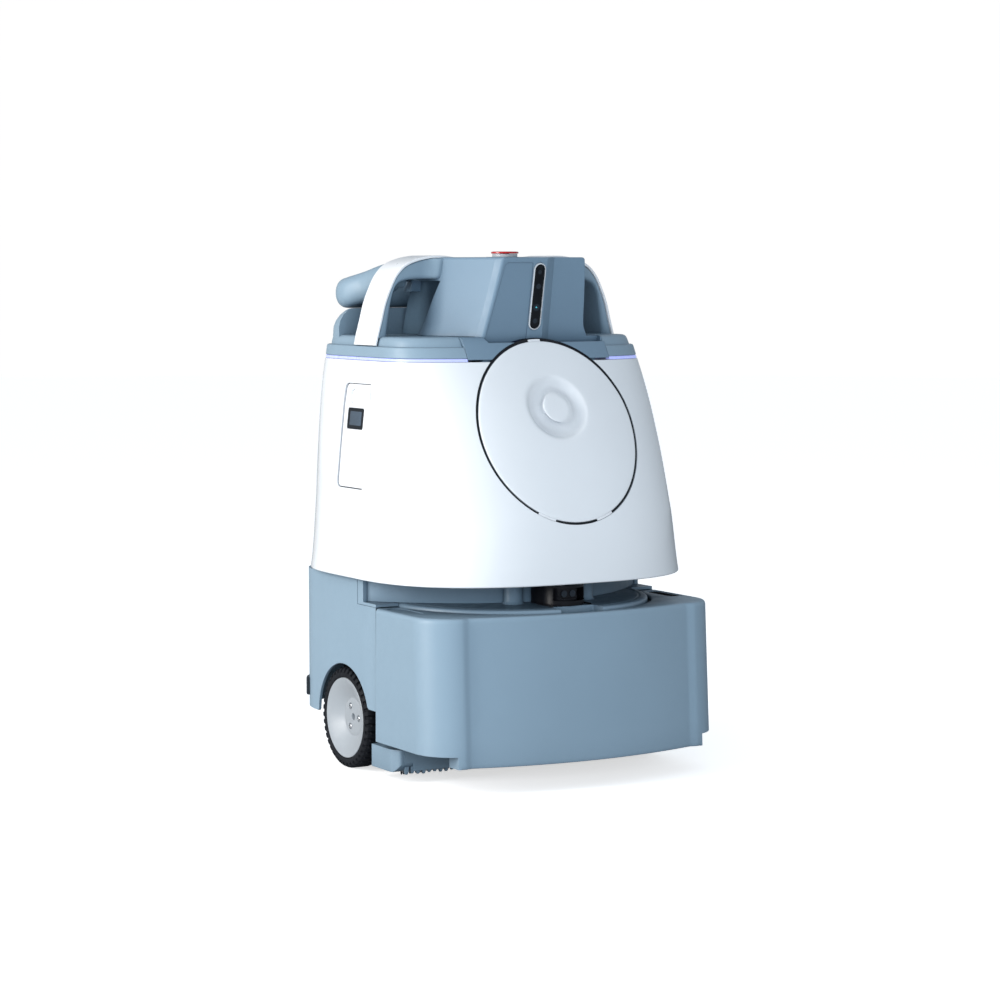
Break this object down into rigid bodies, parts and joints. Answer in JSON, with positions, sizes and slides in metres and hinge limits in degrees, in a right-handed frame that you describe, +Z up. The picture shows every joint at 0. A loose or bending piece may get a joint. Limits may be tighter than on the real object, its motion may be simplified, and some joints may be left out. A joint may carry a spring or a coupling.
{
  "type": "autonomous robotic floor cleaner",
  "caption": "Upright commercial robot vacuum for hard floors and carpet, with sensor tower, round front bin lid, rear push handle and two drive wheels.",
  "frame": {"origin": "centre of the overall box at floor level, under the base", "axes": "+Z up; the front with the round lid and bumper faces -Y; +X is on the right when the front is seen from outside"},
  "size_m": [0.4296, 0.418, 0.6534],
  "materials": {
    "blue": "fine-textured satin",
    "white": "glossy",
    "dark": "matte, fine-textured",
    "black": "glossy, infrared-clear",
    "motor": "cast, matte",
    "lightgrey": "satin",
    "rubber": "matte",
    "steel": "brushed",
    "bristle": "bristled",
    "gloss_black": "glossy, tinted",
    "light": "translucent, lit",
    "red": "glossy",
    "green": "satin",
    "bag": "non-woven"
  },
  "bodies": {
    "root": {"base_cover": "blue", "neck_cover": "blue", "brush_head": "blue", "top_cover": "blue", "tower_cover": "blue", "handle_arch_left": "blue", "handle_arch_right": "blue", "lidar_deck": "blue", "lid_frame": "blue", "upper_shell": "white", "arch_strap_left": "white", "arch_strap_right": "white", "side_panel_left": "white", "side_panel_right": "white", "chassis_pan": "dark", "base_top_plate": "dark", "lid_hinge_bracket": "dark", "dust_chamber": "dark", "screen_bezel": "dark", "rear_buffer": "dark", "lidar_housing": "black", "brush_motor": "black", "drive_motor_left": "motor", "drive_motor_right": "motor", "vacuum_motor": "motor", "suction_hose": "rubber", "camera_bezel": "steel", "handle_pivot_rod": "steel", "lid_hinge_pin": "steel", "camera_glass": "gloss_black", "screen_glass": "gloss_black", "side_window_left": "gloss_black", "side_window_right": "gloss_black", "light_ring": "light", "control_board": "green", "bag_collar": "bag", "dust_bag": "bag", "exhaust_filter": "bag"},
    "wheel_left": {"wheel_disc_left": "lightgrey", "tyre_left": "rubber"},
    "wheel_right": {"wheel_disc_right": "lightgrey", "tyre_right": "rubber"},
    "caster_swivel_left": {"caster_fork_left": "steel"},
    "caster_swivel_right": {"caster_fork_right": "steel"},
    "caster_roll_left": {"caster_wheel_left": "rubber"},
    "caster_roll_right": {"caster_wheel_right": "rubber"},
    "brush": {"brush_roller": "bristle"},
    "bumper": {"front_bumper": "blue"},
    "lidar_spin": {"lidar_rotor": "black"},
    "fan": {"impeller": "motor"},
    "lid": {"lid_cover": "white", "lid_grip": "white", "lid_hinge_arm_left": "lightgrey", "lid_hinge_arm_right": "lightgrey"},
    "handle": {"push_handle": "blue"},
    "estop": {"estop_button": "red", "estop_collar": "white"},
    "start": {"start_button": "green"},
    "key": {"key_switch": "steel"},
    "battery": {"battery_pack": "dark"}
  },
  "joints": [
    {"name": "wheel_spin_left", "type": "hinge", "parent": "root", "child": "wheel_left", "pos_m": [-0.19, 0.064, 0.064], "axis": [1, 0, 0], "continuous": true},
    {"name": "wheel_spin_right", "type": "hinge", "parent": "root", "child": "wheel_right", "pos_m": [0.19, 0.064, 0.064], "axis": [1, 0, 0], "continuous": true},
    {"name": "caster_turn_left", "type": "hinge", "parent": "root", "child": "caster_swivel_left", "pos_m": [-0.11, 0.016, 0.024], "axis": [0, 0, 1], "continuous": true},
    {"name": "caster_turn_right", "type": "hinge", "parent": "root", "child": "caster_swivel_right", "pos_m": [0.11, 0.016, 0.024], "axis": [0, 0, 1], "continuous": true},
    {"name": "caster_spin_left", "type": "hinge", "parent": "caster_swivel_left", "child": "caster_roll_left", "pos_m": [-0.11, 0.024, 0.01], "axis": [1, 0, 0], "continuous": true},
    {"name": "caster_spin_right", "type": "hinge", "parent": "caster_swivel_right", "child": "caster_roll_right", "pos_m": [0.11, 0.024, 0.01], "axis": [1, 0, 0], "continuous": true},
    {"name": "brush_spin", "type": "hinge", "parent": "root", "child": "brush", "pos_m": [0, -0.037, 0.025], "axis": [1, 0, 0], "continuous": true},
    {"name": "bumper_press", "type": "slide", "parent": "root", "child": "bumper", "axis": [0, 1, 0], "range_m": [0, 0.005], "stiffness_N_per_m": 1500},
    {"name": "lidar_turn", "type": "hinge", "parent": "root", "child": "lidar_spin", "pos_m": [0, -0.133, 0.232], "axis": [0, 0, 1], "continuous": true},
    {"name": "fan_spin", "type": "hinge", "parent": "root", "child": "fan", "pos_m": [-0.096, 0.116, 0.287], "axis": [0, 0, 1], "continuous": true},
    {"name": "lid_hinge", "type": "hinge", "parent": "root", "child": "lid", "pos_m": [0, -0.1655, 0.298], "axis": [1, 0, 0], "range_deg": [0, 80]},
    {"name": "handle_tilt", "type": "hinge", "parent": "root", "child": "handle", "pos_m": [0, 0.097, 0.619], "axis": [1, 0, 0], "range_deg": [0, 50]},
    {"name": "estop_press", "type": "slide", "parent": "root", "child": "estop", "axis": [0, 0, -1], "range_m": [0, 0.004], "stiffness_N_per_m": 900},
    {"name": "start_press", "type": "slide", "parent": "root", "child": "start", "axis": [0, -0.9203, -0.3911], "range_m": [0, 0.0025], "stiffness_N_per_m": 500},
    {"name": "key_turn", "type": "hinge", "parent": "root", "child": "key", "pos_m": [0.066, 0.1185, 0.5963], "axis": [0, 0.9203, 0.3911], "range_deg": [0, 90]},
    {"name": "battery_pull", "type": "slide", "parent": "root", "child": "battery", "axis": [0, 1, 0], "range_m": [0, 0.11]}
  ]
}
